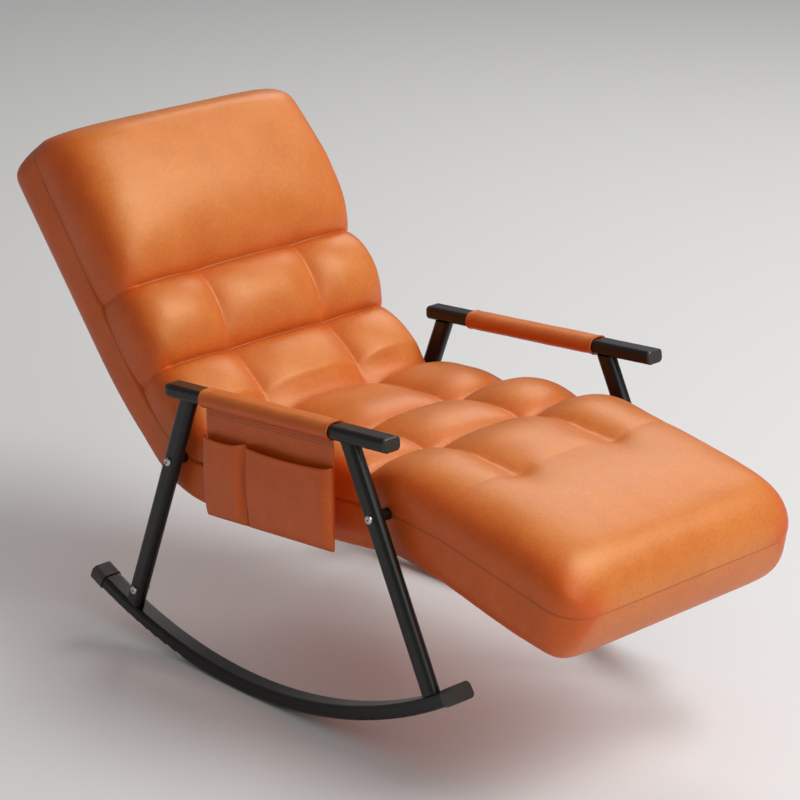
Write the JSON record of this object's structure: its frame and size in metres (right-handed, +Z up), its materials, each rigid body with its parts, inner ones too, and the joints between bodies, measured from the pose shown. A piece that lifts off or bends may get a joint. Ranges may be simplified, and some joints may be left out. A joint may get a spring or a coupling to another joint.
{
  "type": "reclining rocking chair",
  "caption": "Rocking recliner on bent tube runners, with tufted cushions on a hinged backrest and footrest, sleeved armrests and a hanging side pocket.",
  "frame": {"origin": "the point on the floor midway between the two runners' lines of contact, with the empty chair at rest", "axes": "+Z up; +Y to the rear, towards the backrest; +X to the sitter's left, so the pocket hangs on the -X side"},
  "size_m": [0.6503, 1.3972, 0.8852],
  "materials": {
    "frame_tube": "satin black powder coat",
    "hinge_steel": "plain zinc plate",
    "bolt_steel": "bright zinc plate",
    "cap_plastic": "moulded grey, fine grain",
    "plug_plastic": "moulded black, satin",
    "stop_rubber": "matt black",
    "cover_sheet": "orange imitation leather, sewn sheet",
    "cushion": "orange imitation leather over foam, tufted"
  },
  "bodies": {
    "frame": {"runner_left": "frame_tube", "runner_right": "frame_tube", "runner_stub_left": "frame_tube", "runner_stub_right": "frame_tube", "rear_leg_left": "frame_tube", "rear_leg_right": "frame_tube", "front_leg_left": "frame_tube", "front_leg_right": "frame_tube", "armrest_bar_left": "frame_tube", "armrest_bar_right": "frame_tube", "runner_cap_front_left": "cap_plastic", "runner_cap_front_right": "cap_plastic", "runner_cap_rear_left": "cap_plastic", "runner_cap_rear_right": "cap_plastic", "armrest_plug_front_left": "plug_plastic", "armrest_plug_front_right": "plug_plastic", "armrest_plug_rear_left": "plug_plastic", "armrest_plug_rear_right": "plug_plastic", "tipping_stop_left": "stop_rubber", "tipping_stop_right": "stop_rubber", "armrest_sleeve_left": "cover_sheet", "armrest_sleeve_right": "cover_sheet", "back_hinge_drum_left": "hinge_steel", "back_hinge_drum_right": "hinge_steel", "foot_hinge_drum_left": "hinge_steel", "foot_hinge_drum_right": "hinge_steel", "seat_frame": "frame_tube", "pocket_back_panel": "cover_sheet", "pocket_large_pouch": "cover_sheet", "pocket_small_pouch": "cover_sheet", "pivot_bolts": "bolt_steel", "pivot_nuts": "bolt_steel", "pivot_spacers": "bolt_steel", "leg_bolts": "bolt_steel", "leg_nuts": "bolt_steel", "seat_pad": "cushion", "seat_base": "cushion"},
    "backrest": {"back_frame": "frame_tube", "back_hinge_plate_left": "hinge_steel", "back_hinge_plate_right": "hinge_steel", "back_pad": "cushion", "back_base": "cushion"},
    "footrest": {"foot_frame": "frame_tube", "foot_hinge_plate_left": "hinge_steel", "foot_hinge_plate_right": "hinge_steel", "foot_pad": "cushion", "foot_base": "cushion"}
  },
  "joints": [
    {"name": "back_recline", "type": "hinge", "parent": "frame", "child": "backrest", "pos_m": [0, 0.16528, 0.36854], "axis": [-1, 0, 0], "range_deg": [-22, 28]},
    {"name": "foot_tilt", "type": "hinge", "parent": "frame", "child": "footrest", "pos_m": [0, -0.33694, 0.41204], "axis": [1, 0, 0], "range_deg": [-20, 34]}
  ]
}
